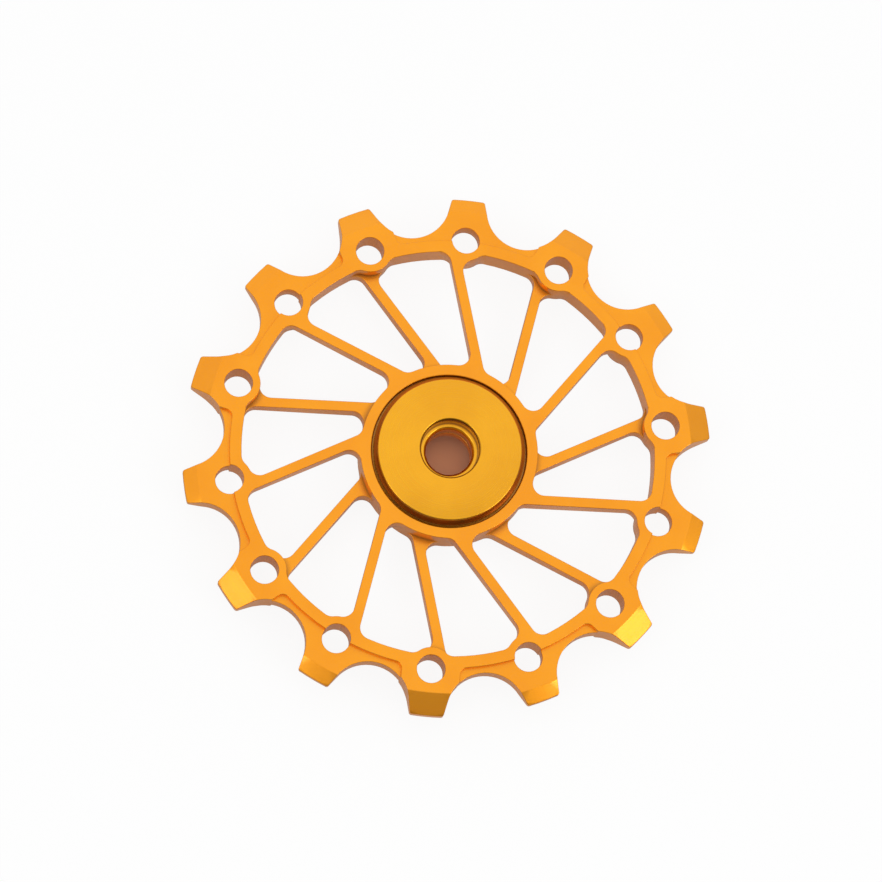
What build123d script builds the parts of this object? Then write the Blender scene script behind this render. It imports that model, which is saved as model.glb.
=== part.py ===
from build123d import *
import math
import os

os.makedirs("parts", exist_ok=True)

# A 14-tooth narrow-wide derailleur jockey wheel on a sealed ball bearing.
# Millimetres. The axle runs along Z, the origin is the middle of the hub,
# and the first wide tooth points along +X.

# Chain and teeth
chain_pitch = 12.7
roller_diameter = 7.75
tooth_pairs = 7
tip_rise = 0.61
roller_seat_radius = 4.4
flank_angle = 24.0
wide_tooth_thickness = 3.5
narrow_tooth_thickness = 2.1
wide_tip_thickness = 1.0
narrow_tip_thickness = 0.7
wide_bevel_length = 2.35
narrow_bevel_length = 1.55
narrow_step_drop = 0.65
wide_pad_width = 6.4
step_corner_radius = 0.8

# Rim, lightening holes and spokes
ring_width = 1.95
hole_diameter = 3.1
hole_inset = 0.45
hole_wall = 0.85
spoke_width = 1.09
spoke_lean = 15.8
spoke_cross_inset = 6.28
pocket_tool_radius = 1.3

# Sealed ball bearing
bearing_bore = 8.0
bearing_outer_diameter = 14.0
bearing_width = 4.0
race_chamfer = 0.15
ball_count = 11
ball_diameter = 1.588
shoulder_inset = 0.575
cage_sheet = 0.18
cage_width = 0.7
seal_thickness = 0.3
seal_inset = 0.15
seal_groove_depth = 0.2

# Hub of the wheel, round the bearing
hub_overhang = 0.2
hub_wall = 1.25
hub_edge_chamfer = 0.12
cap_recess_width = 1.5
cap_recess_depth = 0.7

# Caps that clamp the inner race
cap_rise = 1.35
cap_cone_drop = 0.5
cap_cone_width = 2.85
cap_bevel_height = 0.7
cap_bevel_width = 0.45
axle_bore_diameter = 5.1
bore_lip_chamfer = 0.26
bolt_ledge_width = 0.39
bolt_recess_depth = 1.68
bolt_recess_chamfer = 0.2
stub_gap = 0.1

# Clearances
fit_clearance = 0.02
running_clearance = 0.2
ball_clearance = 0.05
seal_lip_clearance = 0.1

# Worked out from the sizes above
tooth_count = 2 * tooth_pairs
tooth_angle = 360 / tooth_count
pitch_radius = chain_pitch / 2 / math.sin(math.pi / tooth_count)
tip_radius = pitch_radius + tip_rise
root_radius = pitch_radius - roller_diameter / 2
ring_inner_radius = root_radius - ring_width
hole_circle_radius = root_radius - hole_inset
step_radius = root_radius - narrow_step_drop
spoke_cross_radius = root_radius - spoke_cross_inset
wide_top = wide_tooth_thickness / 2
narrow_top = narrow_tooth_thickness / 2
race_outer_radius = bearing_outer_diameter / 2
race_bore_radius = bearing_bore / 2
race_top = bearing_width / 2
ball_radius = ball_diameter / 2
ball_circle_radius = (race_bore_radius + race_outer_radius) / 2
inner_shoulder_radius = ball_circle_radius - shoulder_inset
outer_shoulder_radius = ball_circle_radius + shoulder_inset
groove_radius = ball_radius + ball_clearance
seal_top = race_top - seal_inset
seal_bottom = seal_top - seal_thickness
seal_groove_radius = outer_shoulder_radius + seal_groove_depth
hub_top = race_top + hub_overhang
cap_recess_radius = race_outer_radius + cap_recess_width
hub_radius = cap_recess_radius + hub_wall
recess_floor = hub_top - cap_recess_depth
beyond = tip_radius + roller_diameter
cut_height = 2 * hub_top


def ring_section(points):
    """Draw a closed outline of (radius, height) points on a plane through the axle."""
    with BuildSketch(Plane.XZ) as section:
        with BuildLine():
            Polyline(*points, close=True)
        make_face()
    return section.sketch


def pocket_outline(first_spoke_angle):
    """Draw the pockets milled into one face, which leave every second spoke standing.

    The sketch first holds the places that the middle of the cutter may reach. Growing
    it by the cutter's radius then gives each pocket the round corners of that cutter.
    """
    with BuildSketch() as outline:
        Circle(ring_inner_radius - pocket_tool_radius)
        Circle(hub_radius + pocket_tool_radius, mode=Mode.SUBTRACT)
        with PolarLocations(spoke_cross_radius, tooth_pairs, first_spoke_angle):
            Rectangle(
                2 * spoke_cross_radius,
                spoke_width + 2 * pocket_tool_radius,
                rotation=spoke_lean,
                mode=Mode.SUBTRACT,
            )
        with PolarLocations(hole_circle_radius, tooth_count):
            Circle(hole_diameter / 2 + hole_wall + pocket_tool_radius, mode=Mode.SUBTRACT)
        offset(amount=pocket_tool_radius)
    return outline.sketch


# Outline of one tooth gap: a round roller seat that opens into straight flanks
seat_centre = root_radius + roller_seat_radius
seat_half_angle = 90 - flank_angle
with BuildSketch() as tooth_gap:
    with BuildLine():
        seat = CenterArc((seat_centre, 0), roller_seat_radius, 180 - seat_half_angle, 2 * seat_half_angle)
        left_flank = PolarLine(seat @ 0, roller_diameter, flank_angle)
        right_flank = PolarLine(seat @ 1, roller_diameter, -flank_angle)
        Line(left_flank @ 1, right_flank @ 1)
    make_face()

# Cutter that thins the gaps and every second tooth, with a full pad left under each wide tooth
with BuildPart() as narrow_relief:
    outline = [
        (step_radius, narrow_top),
        (tip_radius - narrow_bevel_length, narrow_top),
        (tip_radius, narrow_tip_thickness / 2),
        (beyond, narrow_tip_thickness / 2),
        (beyond, cut_height),
        (step_radius, cut_height),
    ]
    revolve(ring_section(outline), axis=Axis.Z)
    with PolarLocations(beyond / 2, tooth_pairs):
        Box(beyond, wide_pad_width, 2 * cut_height, mode=Mode.SUBTRACT)
    step_corners = narrow_relief.edges().filter_by(Axis.Z).group_by(lambda edge: edge.center().length)[0]
    fillet(step_corners, step_corner_radius)

# The toothed wheel, milled from one plate
with BuildPart() as toothed_wheel:
    seat_bore_radius = race_outer_radius + fit_clearance
    upper_outline = [
        (seat_bore_radius, recess_floor),
        (cap_recess_radius, recess_floor),
        (cap_recess_radius, hub_top - hub_edge_chamfer),
        (cap_recess_radius + hub_edge_chamfer, hub_top),
        (hub_radius, hub_top),
        (ring_inner_radius, wide_top),
        (tip_radius - wide_bevel_length, wide_top),
        (tip_radius, wide_tip_thickness / 2),
    ]
    lower_outline = [(radius, -height) for radius, height in reversed(upper_outline)]
    revolve(ring_section(upper_outline + lower_outline), axis=Axis.Z)
    with BuildSketch():
        with PolarLocations(0, tooth_count, tooth_angle / 2):
            add(tooth_gap.sketch)
        with PolarLocations(hole_circle_radius, tooth_count):
            Circle(hole_diameter / 2)
    extrude(amount=cut_height, both=True, mode=Mode.SUBTRACT)
    add(narrow_relief.part, mode=Mode.SUBTRACT)
    mirror(narrow_relief.part, about=Plane.XY, mode=Mode.SUBTRACT)
    extrude(pocket_outline(tooth_angle), amount=cut_height, mode=Mode.SUBTRACT)
    extrude(pocket_outline(0), amount=-cut_height, mode=Mode.SUBTRACT)

# Outer race, with a ball groove and a groove for each seal
with BuildPart() as bearing_outer_race:
    upper_outline = [
        (outer_shoulder_radius, 0),
        (outer_shoulder_radius, seal_bottom),
        (seal_groove_radius + fit_clearance, seal_bottom),
        (seal_groove_radius + fit_clearance, seal_top),
        (outer_shoulder_radius, race_top),
        (race_outer_radius - race_chamfer, race_top),
        (race_outer_radius, race_top - race_chamfer),
    ]
    lower_outline = [(radius, -height) for radius, height in reversed(upper_outline[1:])]
    revolve(ring_section(upper_outline + lower_outline), axis=Axis.Z)
    Torus(ball_circle_radius, groove_radius, mode=Mode.SUBTRACT)

# Inner race
with BuildPart() as bearing_inner_race:
    upper_outline = [
        (race_bore_radius, race_top - race_chamfer),
        (race_bore_radius + race_chamfer, race_top),
        (inner_shoulder_radius, race_top),
    ]
    lower_outline = [(radius, -height) for radius, height in reversed(upper_outline)]
    revolve(ring_section(upper_outline + lower_outline), axis=Axis.Z)
    Torus(ball_circle_radius, groove_radius, mode=Mode.SUBTRACT)

# Pressed ribbon cage: a flat ring with a bow over each ball, in two halves that meet at the middle
with BuildPart() as cage_front_half:
    cage_inner_radius = ball_circle_radius - cage_width / 2
    cage_outer_radius = ball_circle_radius + cage_width / 2
    Cylinder(cage_outer_radius, cage_sheet, align=(Align.CENTER, Align.CENTER, Align.MIN))
    with PolarLocations(ball_circle_radius, ball_count):
        Cylinder(groove_radius + cage_sheet, 2 * cage_width, rotation=(0, 90, 0))
    with PolarLocations(ball_circle_radius, ball_count):
        Cylinder(groove_radius, 2 * cage_width, rotation=(0, 90, 0), mode=Mode.SUBTRACT)
    with BuildSketch():
        Circle(cage_outer_radius)
        Circle(cage_inner_radius, mode=Mode.SUBTRACT)
    extrude(amount=race_top, mode=Mode.INTERSECT)

with BuildPart() as cage_rear_half:
    mirror(cage_front_half.part, about=Plane.XY)

# Rubber seal, held in the outer race and just clear of the inner one
with BuildPart() as front_seal:
    lip_radius = inner_shoulder_radius + seal_lip_clearance
    outline = [
        (lip_radius, seal_bottom),
        (seal_groove_radius, seal_bottom),
        (seal_groove_radius, seal_top - seal_thickness / 2),
        (outer_shoulder_radius - fit_clearance, seal_top),
        (lip_radius + seal_thickness / 2, seal_top),
        (lip_radius, seal_top - seal_thickness / 2),
    ]
    revolve(ring_section(outline), axis=Axis.Z)

with BuildPart() as rear_seal:
    mirror(front_seal.part, about=Plane.XY)

# Cap with a stub in the inner race and a skirt that dips into the hub recess
with BuildPart() as front_cap:
    cap_radius = cap_recess_radius - running_clearance
    cap_face_radius = cap_radius - cap_bevel_width
    cap_land_height = hub_top + cap_rise
    cap_edge_height = cap_land_height - cap_cone_drop
    axle_bore_radius = axle_bore_diameter / 2
    bolt_recess_radius = axle_bore_radius + bore_lip_chamfer + bolt_ledge_width
    bolt_recess_floor = cap_land_height - bolt_recess_depth
    stub_radius = race_bore_radius - fit_clearance
    skirt_bottom = recess_floor + running_clearance
    skirt_inner_radius = race_outer_radius + running_clearance
    outline = [
        (axle_bore_radius, stub_gap / 2),
        (stub_radius, stub_gap / 2),
        (stub_radius, race_top),
        (inner_shoulder_radius, race_top),
        (inner_shoulder_radius, race_top + running_clearance),
        (skirt_inner_radius, race_top + running_clearance),
        (skirt_inner_radius, skirt_bottom),
        (cap_radius, skirt_bottom),
        (cap_radius, cap_edge_height - cap_bevel_height),
        (cap_face_radius, cap_edge_height),
        (cap_face_radius - cap_cone_width, cap_land_height),
        (bolt_recess_radius + bolt_recess_chamfer, cap_land_height),
        (bolt_recess_radius, cap_land_height - bolt_recess_chamfer),
        (bolt_recess_radius, bolt_recess_floor),
        (axle_bore_radius + bore_lip_chamfer, bolt_recess_floor),
        (axle_bore_radius, bolt_recess_floor - bore_lip_chamfer),
    ]
    revolve(ring_section(outline), axis=Axis.Z)

with BuildPart() as rear_cap:
    mirror(front_cap.part, about=Plane.XY)

named_parts = {
    "toothed_wheel": toothed_wheel,
    "bearing_outer_race": bearing_outer_race,
    "bearing_inner_race": bearing_inner_race,
    "cage_front_half": cage_front_half,
    "cage_rear_half": cage_rear_half,
    "front_seal": front_seal,
    "rear_seal": rear_seal,
    "front_cap": front_cap,
    "rear_cap": rear_cap,
}
for node_name, builder in named_parts.items():
    builder.part.label = node_name
    export_step(builder.part, f"parts/{node_name}.step")

# The balls, each a piece of its own
for ball_index in range(ball_count):
    with BuildPart() as ball:
        with Locations(PolarLocations(ball_circle_radius, ball_count).locations[ball_index]):
            Sphere(ball_radius)
    ball.part.label = f"ball_{ball_index + 1:02d}"
    export_step(ball.part, f"parts/{ball.part.label}.step")
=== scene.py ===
"""Looks of a gold anodised narrow-wide jockey wheel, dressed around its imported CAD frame."""
import logging
import math
from dataclasses import dataclass, field
from enum import Enum

import bmesh
import bpy
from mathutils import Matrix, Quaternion, Vector


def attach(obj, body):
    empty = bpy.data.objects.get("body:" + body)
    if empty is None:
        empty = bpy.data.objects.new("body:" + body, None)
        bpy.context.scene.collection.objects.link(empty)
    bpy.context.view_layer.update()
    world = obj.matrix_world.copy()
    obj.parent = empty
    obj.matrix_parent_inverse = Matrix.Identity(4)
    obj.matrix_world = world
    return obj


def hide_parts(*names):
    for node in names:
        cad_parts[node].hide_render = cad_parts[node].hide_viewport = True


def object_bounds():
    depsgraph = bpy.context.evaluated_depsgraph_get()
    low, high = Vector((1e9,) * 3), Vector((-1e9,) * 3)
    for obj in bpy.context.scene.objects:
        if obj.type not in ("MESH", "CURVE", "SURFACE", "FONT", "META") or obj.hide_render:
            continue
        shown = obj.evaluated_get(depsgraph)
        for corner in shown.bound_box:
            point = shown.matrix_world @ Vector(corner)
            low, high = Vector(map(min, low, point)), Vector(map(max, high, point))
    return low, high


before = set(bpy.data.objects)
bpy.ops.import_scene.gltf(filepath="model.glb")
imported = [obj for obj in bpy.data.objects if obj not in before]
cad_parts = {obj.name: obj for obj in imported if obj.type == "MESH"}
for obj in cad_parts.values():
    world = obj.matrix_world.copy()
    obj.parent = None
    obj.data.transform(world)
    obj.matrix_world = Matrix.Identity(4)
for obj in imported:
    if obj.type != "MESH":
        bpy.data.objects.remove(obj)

CAD_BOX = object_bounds()
MM = 0.001
NODE_SPACING = 220
WELD_DISTANCE = 0.0002 * MM
WHITE = (1.0, 1.0, 1.0, 1.0)
RISING = (0.0, 1.0)
FALLING = (1.0, 0.0)
log = logging.getLogger("jockey_wheel")

Colour = tuple[float, float, float]
Span = tuple[float, float]
Socket = bpy.types.NodeSocket


class Grain(Enum):
    """How the cutter or the press left a metal surface."""

    TURNED = "turned"
    PRESSED = "pressed"
    POLISHED = "polished"


class NodeKit:
    """Adds shader nodes to one material or world in a row, left to right."""

    def __init__(self, tree: bpy.types.NodeTree) -> None:
        """Keep the tree and clear it.

        Args:
            tree: The nodes of a material or of the world.
        """
        self.tree = tree
        self.column = 0
        tree.nodes.clear()

    def add(self, kind: str, **settings: object) -> bpy.types.Node:
        """Add a node and set its properties and unlinked inputs.

        Args:
            kind: Blender's name of the node type.
            settings: Property names, or input names with spaces as underscores.

        Returns:
            The new node.
        """
        node = self.tree.nodes.new(kind)
        node.location = (NODE_SPACING * self.column, 0)
        self.column += 1
        for name, value in settings.items():
            if hasattr(node, name):
                setattr(node, name, value)
            else:
                node.inputs[name.replace("_", " ")].default_value = value
        return node

    def link(self, source: Socket, target: Socket) -> None:
        """Join an output to an input."""
        self.tree.links.new(source, target)

    def put(self, value: object, target: Socket) -> None:
        """Set an input to a value, or join it where the value is an output.

        Args:
            value: A number, a colour or a socket.
            target: The input.
        """
        if isinstance(value, Socket):
            self.link(value, target)
        elif target.type == "RGBA":
            target.default_value = (*value, 1.0)
        else:
            target.default_value = value

    def show(self, shader: Socket, output: str = "ShaderNodeOutputMaterial") -> None:
        """Join a shader to a new output node."""
        self.link(shader, self.add(output).inputs["Surface"])

    def math(self, operation: str, first: object, second: object) -> Socket:
        """Add a math node.

        Args:
            operation: Blender's name of the operation.
            first: A socket or a number.
            second: A socket or a number.

        Returns:
            The node's value output.
        """
        node = self.add("ShaderNodeMath", operation=operation)
        for value, target in zip((first, second), node.inputs):
            self.put(value, target)
        return node.outputs[0]

    def ramp(self, source: Socket, start: Span, result: Span) -> Socket:
        """Map a value from one range to another, clamped.

        Args:
            source: The value to map.
            start: Low and high end of the source range.
            result: What those two ends become.

        Returns:
            The mapped value.
        """
        node = self.add("ShaderNodeMapRange", clamp=True, From_Min=start[0], From_Max=start[1],
                        To_Min=result[0], To_Max=result[1])
        self.link(source, node.inputs["Value"])
        return node.outputs["Result"]

    def noise(self, place: Socket, scale: float, detail: float, harshness: float = 0.5) -> Socket:
        """Add a noise pattern.

        Args:
            place: Where each point is in the pattern.
            scale: How fine the pattern is.
            detail: How many finer layers lie on it.
            harshness: How strong the finer layers are.

        Returns:
            A value from 0 to 1.
        """
        node = self.add("ShaderNodeTexNoise", Scale=scale, Detail=detail, Roughness=harshness)
        self.link(place, node.inputs["Vector"])
        return node.outputs[0]

    def bump(self, height: Socket, strength: float, depth: float) -> Socket:
        """Turn a height into a surface direction.

        Args:
            height: A value from 0 to 1.
            strength: Share of the bump that shows.
            depth: What a height of 1 stands for, in metres.

        Returns:
            The bumped direction.
        """
        node = self.add("ShaderNodeBump", Strength=strength, Distance=depth)
        self.link(height, node.inputs["Height"])
        return node.outputs[0]

    def axle_distance(self, place: Socket) -> Socket:
        """Measure how far each point is from the axle.

        Args:
            place: Object coordinates.

        Returns:
            The distance in metres.
        """
        flat = self.add("ShaderNodeVectorMath", operation="MULTIPLY")
        flat.inputs[1].default_value = (1, 1, 0)
        self.link(place, flat.inputs[0])
        length = self.add("ShaderNodeVectorMath", operation="LENGTH")
        self.link(flat.outputs[0], length.inputs[0])
        return length.outputs["Value"]

    def blend(self, factor: Socket, first: object, second: object) -> Socket:
        """Mix two colours.

        Args:
            factor: Share of the second colour.
            first: A colour or a colour socket.
            second: A colour or a colour socket.

        Returns:
            The mixed colour.
        """
        node = self.add("ShaderNodeMix", data_type="RGBA")
        self.link(factor, node.inputs["Factor"])
        colour_inputs = [socket for socket in node.inputs if socket.type == "RGBA"]
        for value, target in zip((first, second), colour_inputs):
            self.put(value, target)
        return next(socket for socket in node.outputs if socket.type == "RGBA")


def new_material(name: str) -> tuple[bpy.types.Material, NodeKit, Socket]:
    """Start a material.

    Args:
        name: The finish's name.

    Returns:
        The material, its nodes, and its object coordinates.
    """
    made = bpy.data.materials.new(name)
    made.use_nodes = True
    kit = NodeKit(made.node_tree)
    return made, kit, kit.add("ShaderNodeTexCoord").outputs["Object"]


def as_mesh(shape: bmesh.types.BMesh, name: str) -> bpy.types.Mesh:
    """Store a worked shape as a mesh and free it.

    Args:
        shape: The shape.
        name: The mesh's name.

    Returns:
        The mesh.
    """
    mesh = bpy.data.meshes.new(name)
    shape.to_mesh(mesh)
    shape.free()
    return mesh


def put_in_scene(name: str, data: bpy.types.ID) -> bpy.types.Object:
    """Make an object and link it to the scene.

    Args:
        name: The object's name.
        data: Its mesh, lamp or camera.

    Returns:
        The object.
    """
    made = bpy.data.objects.new(name, data)
    bpy.context.collection.objects.link(made)
    return made


@dataclass(frozen=True)
class MetalFinish:
    """A metal surface with its tool marks, its colour drift, its clear skin and painted shade in
    its corners and rings.
    """

    name: str
    colour: Colour
    deep_colour: Colour
    roughness: float
    grain: Grain
    grain_size: float = 0.09 * MM
    grain_depth: float = 0.25
    grain_detail: float = 3.0
    grain_harshness: float = 0.55
    grain_range: Span = (0.3, 0.7)
    mark_depth: float = 0.02 * MM
    roughness_spread: float = 0.05
    drift_scale: float = 170.0
    drift_detail: float = 4.0
    drift_range: Span = (0.35, 0.65)
    skin: float = 0.0
    skin_roughness: float = 0.16
    skin_index: float = 1.65
    # Painted shade: a brown laid on inner corners, on a cap's outer bevel and on its recess wall,
    # where shade falls.
    painted_shade_colour: Colour = (0.30, 0.125, 0.012)
    corner_reach: float = 0.0
    corner_samples: int = 12
    corner_range: Span = (0.5, 0.9)
    corner_levels: Span = (0.9, 0.0)
    corners_within: float = 0.0
    corners_fade: float = 0.3 * MM
    # Radii of the painted shade ring on a cap's outer bevel and of the painted shade on its recess
    # wall.
    shade_ring_radius: float = 0.0
    shade_ring_edge: Span = (-0.05 * MM, 0.1 * MM)
    recess_wall: Span = (3.12 * MM, 3.25 * MM)
    wall_level: float = 0.75
    wall_fade: float = 0.06 * MM

    def grain_height(self, kit: NodeKit, place: Socket) -> Socket:
        """Draw the tool marks as a height.

        Args:
            kit: The material's nodes.
            place: Object coordinates.

        Returns:
            A value from 0 to 1.
        """
        if self.grain is Grain.TURNED:
            split = kit.add("ShaderNodeSeparateXYZ")
            kit.link(place, split.inputs[0])
            ring = kit.add("ShaderNodeCombineXYZ")
            kit.link(kit.axle_distance(place), ring.inputs["X"])
            kit.link(split.outputs["Z"], ring.inputs["Y"])
            place = ring.outputs[0]
        fine = 1 / self.grain_size
        stretch = kit.add("ShaderNodeMapping", Scale=(fine, fine, fine))
        kit.link(place, stretch.inputs["Vector"])
        return kit.noise(stretch.outputs[0], 1.0, self.grain_detail, self.grain_harshness)

    def painted_corner_shade(self, kit: NodeKit, place: Socket) -> Socket:
        """Paint shade into the inner corners found by ambient occlusion, out to a set distance from
        the axle.

        Args:
            kit: The material's nodes.
            place: Object coordinates.

        Returns:
            The share of the painted shade's colour.
        """
        corner = kit.add("ShaderNodeAmbientOcclusion", samples=self.corner_samples,
                         only_local=True, Distance=self.corner_reach)
        shade_share = kit.ramp(corner.outputs["AO"], self.corner_range, self.corner_levels)
        fade = (self.corners_within - self.corners_fade, self.corners_within)
        inside = kit.ramp(kit.axle_distance(place), fade, FALLING)
        return kit.math("MULTIPLY", shade_share, inside)

    def painted_ring_shade(self, kit: NodeKit, place: Socket) -> Socket:
        """Paint shade on the outer bevel and the recess wall of a turned piece.

        Args:
            kit: The material's nodes.
            place: Object coordinates.

        Returns:
            The share of the painted shade's colour.
        """
        radius = kit.axle_distance(place)
        start, end = self.shade_ring_edge
        shade_share = kit.ramp(radius, (self.shade_ring_radius + start, self.shade_ring_radius + end), RISING)
        inner, outer = self.recess_wall
        wall_start = kit.ramp(radius, (inner - self.wall_fade, inner), (0.0, self.wall_level))
        wall_end = kit.ramp(radius, (outer, outer + self.wall_fade), FALLING)
        return kit.math("MAXIMUM", shade_share, kit.math("MULTIPLY", wall_start, wall_end))

    def material(self) -> bpy.types.Material:
        """Make the material.

        Returns:
            The material, with colour, roughness and bump from its nodes.
        """
        made, kit, place = new_material(self.name)
        cloud = kit.noise(place, self.drift_scale, self.drift_detail)
        drift = kit.ramp(cloud, self.drift_range, RISING)
        grain = self.grain_height(kit, place)
        marks = kit.bump(grain, self.grain_depth, self.mark_depth)
        shader = kit.add("ShaderNodeBsdfPrincipled", Metallic=1.0, Coat_Weight=self.skin,
                         Coat_Roughness=self.skin_roughness, Coat_IOR=self.skin_index)
        colour = kit.blend(drift, self.colour, self.deep_colour)
        # Painted shade darkens the inner corners.
        if self.corner_reach:
            colour = kit.blend(self.painted_corner_shade(kit, place), colour, self.painted_shade_colour)
        # Painted shade darkens the cap's outer bevel and its recess wall.
        if self.shade_ring_radius:
            colour = kit.blend(self.painted_ring_shade(kit, place), colour, self.painted_shade_colour)
        kit.link(colour, shader.inputs["Base Color"])
        span = (self.roughness - self.roughness_spread, self.roughness + self.roughness_spread)
        kit.link(kit.ramp(grain, self.grain_range, span), shader.inputs["Roughness"])
        kit.link(marks, shader.inputs["Normal"])
        kit.show(shader.outputs[0])
        return made


@dataclass(frozen=True)
class RubberFinish:
    """Moulded seal rubber with a fine matt skin."""

    name: str = "seal_rubber"
    colour: Colour = (0.018, 0.018, 0.02)
    roughness: float = 0.62
    bloom_colour: Colour = (0.05, 0.05, 0.052)
    bloom_scale: float = 900.0
    bloom_detail: float = 3.0
    bloom_range: Span = (0.4, 0.7)
    skin_scale: float = 9000.0
    skin_detail: float = 2.0
    skin_strength: float = 0.3
    skin_depth: float = 0.01 * MM

    def material(self) -> bpy.types.Material:
        """Make the material.

        Returns:
            The material, with a dusty bloom and a fine skin.
        """
        made, kit, place = new_material(self.name)
        bloom = kit.noise(place, self.bloom_scale, self.bloom_detail)
        skin = kit.noise(place, self.skin_scale, self.skin_detail)
        bump = kit.bump(skin, self.skin_strength, self.skin_depth)
        shader = kit.add("ShaderNodeBsdfPrincipled", Roughness=self.roughness)
        dust = kit.ramp(bloom, self.bloom_range, RISING)
        kit.link(kit.blend(dust, self.colour, self.bloom_colour), shader.inputs["Base Color"])
        kit.link(bump, shader.inputs["Normal"])
        kit.show(shader.outputs[0])
        return made


# The wheel paints shade into its inner corners out to 23.8 mm from the axle.
ANODISED_WHEEL = MetalFinish(
    "gold_anodised_wheel", (0.97, 0.362, 0.005), (0.93, 0.325, 0.003), 0.34, Grain.TURNED,
    skin=0.38, corner_reach=1.0 * MM, corners_within=23.8 * MM)
# The cap paints shade on its outer bevel from 7.9 mm out and on its recess wall.
ANODISED_CAP = MetalFinish(
    "gold_anodised_cap", (0.91, 0.42, 0.006), (0.85, 0.375, 0.004), 0.24, Grain.TURNED,
    grain_size=0.05 * MM, skin=0.35, shade_ring_radius=7.9 * MM)
RACE_STEEL = MetalFinish(
    "ground_race_steel", (0.52, 0.52, 0.53), (0.44, 0.44, 0.46), 0.22, Grain.TURNED,
    grain_size=0.03 * MM)
CAGE_STEEL = MetalFinish(
    "pressed_cage_steel", (0.46, 0.46, 0.46), (0.38, 0.38, 0.39), 0.36, Grain.PRESSED)
BALL_STEEL = MetalFinish(
    "polished_ball_steel", (0.66, 0.66, 0.67), (0.6, 0.6, 0.62), 0.08, Grain.POLISHED,
    grain_depth=0.02, roughness_spread=0.02)
SEAL_RUBBER = RubberFinish()


def dress(node: str, material: bpy.types.Material) -> None:
    """Give a CAD node one material.

    Args:
        node: The node's name.
        material: The finish.
    """
    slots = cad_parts[node].data.materials
    slots.clear()
    slots.append(material)
    log.info("dressed %s with %s", node, material.name)


@dataclass
class MachinedPiece:
    """A machined piece whose sharp edges are broken, in the place of its CAD node."""

    node: str
    body: str
    slot: str
    edge_break: float
    corner_radius: float = 0.0
    corner_from: float = 0.0
    edge_rounds: int = 3
    corner_rounds: int = 5
    upright_share: float = 0.9
    flat_angle: float = math.radians(0.1)
    sharp_angle: float = math.radians(22)
    cusp_angle: float = math.radians(25)
    crease_angle: float = math.radians(40)

    def blank(self) -> bmesh.types.BMesh:
        """Copy the node's triangles, merged and with flat areas made whole.

        Returns:
            The shape before its edges are broken.
        """
        shape = bmesh.new()
        shape.from_mesh(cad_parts[self.node].data)
        bmesh.ops.remove_doubles(shape, verts=shape.verts, dist=WELD_DISTANCE)
        bmesh.ops.dissolve_limit(shape, angle_limit=self.flat_angle, verts=shape.verts,
                                 edges=shape.edges)
        return shape

    def is_sharp(self, edge: bmesh.types.BMEdge) -> bool:
        """Tell whether an edge stands out sharply."""
        return edge.calc_face_angle_signed(0.0) > self.sharp_angle

    def open_edges(self, shape: bmesh.types.BMesh) -> list[bmesh.types.BMEdge]:
        """Pick the outer edges that a file would reach.

        Args:
            shape: The shape.

        Returns:
            The edges, apart from the ends where two of them run together.
        """
        sharp = {edge for edge in shape.edges if self.is_sharp(edge)}
        cusps = set()
        for face in shape.faces:
            for loop in face.loops:
                between = loop.edge in sharp and loop.link_loop_prev.edge in sharp
                if between and loop.calc_angle() < self.cusp_angle:
                    cusps.add(loop.vert)
        return [edge for edge in shape.edges if edge in sharp and cusps.isdisjoint(edge.verts)]

    def upright_corners(self, shape: bmesh.types.BMesh) -> list[bmesh.types.BMEdge]:
        """Pick the upright corners that stand far out, such as those of the tooth tips.

        Args:
            shape: The shape.

        Returns:
            The corners' edges.
        """
        corners = []
        for edge in shape.edges:
            first, second = (vert.co for vert in edge.verts)
            run = second - first
            far_out = ((first + second) / 2).xy.length > self.corner_from
            upright = abs(run.z) > self.upright_share * run.length
            if far_out and upright and self.is_sharp(edge):
                corners.append(edge)
        log.info("rounding %d corners of %s", len(corners), self.node)
        return corners

    def round_edges(self, shape: bmesh.types.BMesh, edges: list[bmesh.types.BMEdge],
                    offset: float, segments: int) -> None:
        """Round some edges of the shape.

        Args:
            shape: The shape.
            edges: The edges to round.
            offset: How far the rounding reaches from each edge.
            segments: How many faces it has.
        """
        bmesh.ops.bevel(shape, geom=edges, offset=offset, offset_type="OFFSET", segments=segments,
                        profile=0.5, affect="EDGES", clamp_overlap=False, material=-1)

    def build(self, material: bpy.types.Material) -> None:
        """Break the edges, dress the piece and put it in the node's place.

        Args:
            material: The finish.
        """
        shape = self.blank()
        if self.corner_radius:
            corners = self.upright_corners(shape)
            self.round_edges(shape, corners, self.corner_radius, self.corner_rounds)
        self.round_edges(shape, self.open_edges(shape), self.edge_break, self.edge_rounds)
        mesh = as_mesh(shape, f"{self.node}_finished")
        mesh.shade_smooth()
        mesh.set_sharp_from_angle(angle=self.crease_angle)
        mesh.materials.append(material)
        piece = put_in_scene(mesh.name, mesh)
        even = piece.modifiers.new("even_shading", "WEIGHTED_NORMAL")
        even.keep_sharp = True
        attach(piece, self.body)
        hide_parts(self.node)
        log.info("finished %s with %d faces", piece.name, len(mesh.polygons))


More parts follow.
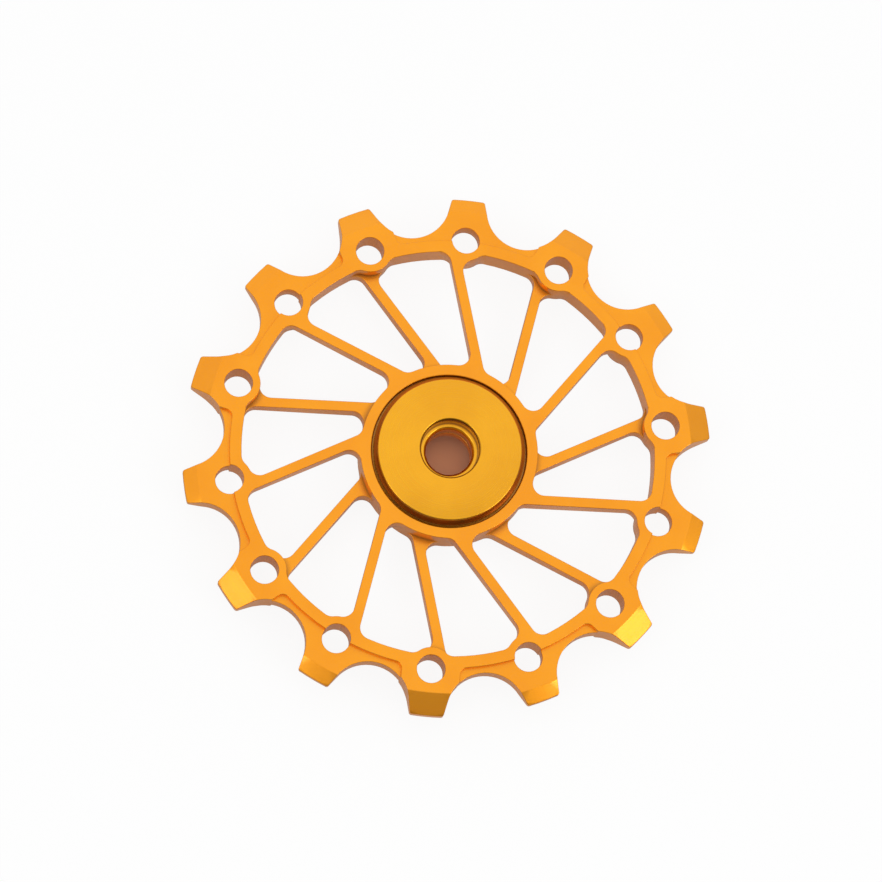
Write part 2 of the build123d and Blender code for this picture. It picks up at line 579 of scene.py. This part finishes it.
@dataclass
class TurnedCap(MachinedPiece):
    """A cap turned on a lathe, smoother than the facets of its CAD node."""

    face_up: bool = True
    turning_steps: int = 256
    bore_radius: float = 2.55 * MM
    bore_lip: float = 0.26 * MM
    recess_radius: float = 3.2 * MM
    recess_floor: float = 1.87 * MM
    recess_chamfer: float = 0.2 * MM
    land_radius: float = 5.0 * MM
    land_height: float = 3.55 * MM
    face_radius: float = 7.85 * MM
    face_height: float = 3.05 * MM
    outer_radius: float = 8.3 * MM
    bevel_foot: float = 2.35 * MM
    skirt_radius: float = 7.2 * MM
    skirt_foot: float = 1.7 * MM
    under_height: float = 2.2 * MM
    shoulder_radius: float = 4.925 * MM
    shoulder_height: float = 2.0 * MM
    stub_radius: float = 3.98 * MM
    stub_foot: float = 0.05 * MM

    def profile(self) -> list[tuple[float, float]]:
        """List the corners of the cap's section.

        Returns:
            Pairs of radius and height, once round the section.
        """
        return [
            (self.bore_radius, self.stub_foot),
            (self.stub_radius, self.stub_foot),
            (self.stub_radius, self.shoulder_height),
            (self.shoulder_radius, self.shoulder_height),
            (self.shoulder_radius, self.under_height),
            (self.skirt_radius, self.under_height),
            (self.skirt_radius, self.skirt_foot),
            (self.outer_radius, self.skirt_foot),
            (self.outer_radius, self.bevel_foot),
            (self.face_radius, self.face_height),
            (self.land_radius, self.land_height),
            (self.recess_radius + self.recess_chamfer, self.land_height),
            (self.recess_radius, self.land_height - self.recess_chamfer),
            (self.recess_radius, self.recess_floor),
            (self.bore_radius + self.bore_lip, self.recess_floor),
            (self.bore_radius, self.recess_floor - self.bore_lip),
        ]

    def blank(self) -> bmesh.types.BMesh:
        """Turn the section about the axle.

        Returns:
            The closed shape of the cap, before its edges are broken.
        """
        side = 1 if self.face_up else -1
        shape = bmesh.new()
        corners = [shape.verts.new((radius, 0, side * height)) for radius, height in self.profile()]
        edges = [shape.edges.new((corners[place - 1], corners[place]))
                 for place in range(len(corners))]
        bmesh.ops.spin(shape, geom=corners + edges, cent=(0, 0, 0), axis=(0, 0, 1),
                       angle=2 * math.pi, steps=self.turning_steps, use_merge=True)
        bmesh.ops.remove_doubles(shape, verts=shape.verts, dist=WELD_DISTANCE)
        bmesh.ops.recalc_face_normals(shape, faces=shape.faces)
        return shape


@dataclass
class Wheel:
    """The toothed wheel, milled from one plate and anodised."""

    finish: MetalFinish = ANODISED_WHEEL
    edge_break: float = 0.07 * MM
    tip_rounding: float = 0.22 * MM
    tips_from: float = 28.5 * MM

    def build(self) -> None:
        """Finish the milled wheel."""
        wheel = MachinedPiece("toothed_wheel", "wheel", "wheel_anodised", self.edge_break,
                              corner_radius=self.tip_rounding, corner_from=self.tips_from)
        wheel.build(self.finish.material())


@dataclass
class Caps:
    """The two turned caps that close the hub."""

    finish: MetalFinish = ANODISED_CAP
    edge_break: float = 0.06 * MM

    def build(self) -> None:
        """Finish both caps."""
        material = self.finish.material()
        for node, face_up in (("front_cap", True), ("rear_cap", False)):
            cap = TurnedCap(node, "axle_caps", "cap_anodised", self.edge_break, face_up=face_up)
            cap.build(material)


@dataclass
class Bearing:
    """The sealed ball bearing in the hub."""

    races: tuple[str, ...] = ("bearing_outer_race", "bearing_inner_race")
    cage: tuple[str, ...] = ("cage_front_half", "cage_rear_half")
    seals: tuple[str, ...] = ("front_seal", "rear_seal")

    def build(self) -> None:
        """Dress the races, the cage, the seals and each ball."""
        balls = tuple(sorted(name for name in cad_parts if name.startswith("ball_")))
        groups = (
            (self.races, RACE_STEEL),
            (self.cage, CAGE_STEEL),
            (self.seals, SEAL_RUBBER),
            (balls, BALL_STEEL),
        )
        for nodes, finish in groups:
            material = finish.material()
            for node in nodes:
                dress(node, material)


@dataclass
class Softbox:
    """One square studio lamp that faces the wheel."""

    name: str
    azimuth: float
    elevation: float
    power: float
    side: float
    distance: float = 0.55

    def build(self) -> None:
        """Hang the lamp and turn it to the wheel."""
        lamp = bpy.data.lights.new(self.name, "AREA")
        lamp.energy = self.power
        lamp.size = self.side
        hung = put_in_scene(self.name, lamp)
        flat = math.cos(math.radians(self.elevation))
        hung.location = self.distance * Vector((
            flat * math.cos(math.radians(self.azimuth)),
            flat * math.sin(math.radians(self.azimuth)),
            math.sin(math.radians(self.elevation)),
        ))
        hung.rotation_euler = (-hung.location).to_track_quat("-Z", "Y").to_euler()


@dataclass
class Studio:
    """Pale floor, soft light and the camera."""

    camera_place: Vector = field(default_factory=lambda: Vector((-63.2, -106.71, 496.35)) * MM)
    camera_aim: Vector = field(default_factory=lambda: Vector((-0.47, 1.70, 0.0)) * MM)
    camera_roll: float = 22.4
    lens: float = 190.14
    sensor_width: float = 36.0
    floor_side: float = 3.0
    floor_gap: float = 0.02 * MM
    fibre_scale: float = 1800.0
    fibre_detail: float = 3.0
    paper_tones: tuple[Colour, Colour] = ((0.54, 0.54, 0.54), (0.60, 0.60, 0.60))
    camera_paper: Colour = (0.92, 0.92, 0.92)
    camera_white: float = 0.9
    mirror_white: float = 0.15
    # Painted shade and painted warm bounce light on the paper under the axle bore.
    bore_shade: Span = (3.0 * MM, 4.0 * MM)
    painted_bounce_tint: Colour = (1.0, 0.58, 0.40)
    bright_side: Colour = (0.06, 0.6, 0.8)
    room_range: Span = (-0.35, 0.75)
    room_levels: Span = (0.06, 1.02)
    lamps: tuple[Softbox, ...] = (
        Softbox("left_softbox", 202.0, 43.0, 0.31, 0.24),
        Softbox("right_softbox", 320.0, 37.0, 0.58, 0.26),
    )

    def build(self) -> None:
        """Set up the floor, the world, the lamps and the camera."""
        self.lay_floor()
        self.light_world()
        for lamp in self.lamps:
            lamp.build()
        self.place_camera()
        bpy.context.scene.view_settings.view_transform = "Standard"

    def lay_floor(self) -> None:
        """Lay a sheet of paper just under the rear cap."""
        shape = bmesh.new()
        bmesh.ops.create_grid(shape, x_segments=1, y_segments=1, size=self.floor_side / 2)
        depth = CAD_BOX[0][2] - self.floor_gap
        bmesh.ops.translate(shape, verts=shape.verts, vec=(0, 0, depth))
        mesh = as_mesh(shape, "floor")
        floor = put_in_scene("floor", mesh)
        mesh.materials.append(self.paper())

    def paper(self) -> bpy.types.Material:
        """Make the paper: white to the camera, dim in mirrors, and with painted shade and painted
        warm bounce light under the axle bore.

        Returns:
            The material.
        """
        made, kit, place = new_material("white_paper")
        fibre = kit.noise(place, self.fibre_scale, self.fibre_detail)
        # Painted shade under the axle bore: there the paper loses its white and takes a painted
        # warm tint of light bounced in the bore.
        clear = kit.ramp(kit.axle_distance(place), self.bore_shade, RISING)
        diffuse = kit.add("ShaderNodeBsdfDiffuse")
        weave = kit.blend(fibre, *self.paper_tones)
        path = kit.add("ShaderNodeLightPath").outputs
        sheet = kit.blend(path["Is Camera Ray"], weave, self.camera_paper)
        kit.link(kit.blend(clear, self.painted_bounce_tint, sheet), diffuse.inputs["Color"])
        white = kit.add("ShaderNodeEmission", Color=WHITE, Strength=1.0)
        seen = kit.math("MULTIPLY", path["Is Camera Ray"], self.camera_white)
        bounced = kit.math("MAXIMUM", path["Is Glossy Ray"], path["Is Transmission Ray"])
        mirrored = kit.math("MULTIPLY", bounced, self.mirror_white)
        shown = kit.math("MULTIPLY", kit.math("MAXIMUM", seen, mirrored), clear)
        mix = kit.add("ShaderNodeMixShader")
        for source, target in zip((shown, diffuse.outputs[0], white.outputs[0]), mix.inputs):
            kit.link(source, target)
        kit.show(mix.outputs[0])
        return made

    def light_world(self) -> None:
        """Fill the room with soft light, bright overhead and behind, dim in front."""
        world = bpy.data.worlds.new("studio")
        bpy.context.scene.world = world
        world.use_nodes = True
        kit = NodeKit(world.node_tree)
        direction = kit.add("ShaderNodeTexCoord").outputs["Generated"]
        toward = kit.add("ShaderNodeVectorMath", operation="DOT_PRODUCT")
        toward.inputs[1].default_value = Vector(self.bright_side).normalized()
        kit.link(direction, toward.inputs[0])
        level = kit.ramp(toward.outputs["Value"], self.room_range, self.room_levels)
        backdrop = kit.add("ShaderNodeLightPath").outputs["Is Camera Ray"]
        sky = kit.add("ShaderNodeBackground", Color=WHITE)
        kit.link(kit.math("MAXIMUM", level, backdrop), sky.inputs["Strength"])
        kit.show(sky.outputs[0], "ShaderNodeOutputWorld")

    def place_camera(self) -> None:
        """Put the camera where the photograph was taken from."""
        lens = bpy.data.cameras.new("camera")
        lens.lens = self.lens
        lens.sensor_width = self.sensor_width
        camera = put_in_scene("camera", lens)
        camera.location = self.camera_place
        look = (self.camera_aim - self.camera_place).to_track_quat("-Z", "Y")
        roll = Quaternion((0, 0, 1), math.radians(self.camera_roll))
        camera.rotation_euler = (look @ roll).to_euler()
        bpy.context.scene.camera = camera


def main() -> None:
    """Dress every piece, then set up the studio."""
    logging.basicConfig(level=logging.INFO)
    for assembly in (Wheel(), Caps(), Bearing(), Studio()):
        assembly.build()
        log.info("built %s", type(assembly).__name__)


if __name__ == "__main__":
    main()
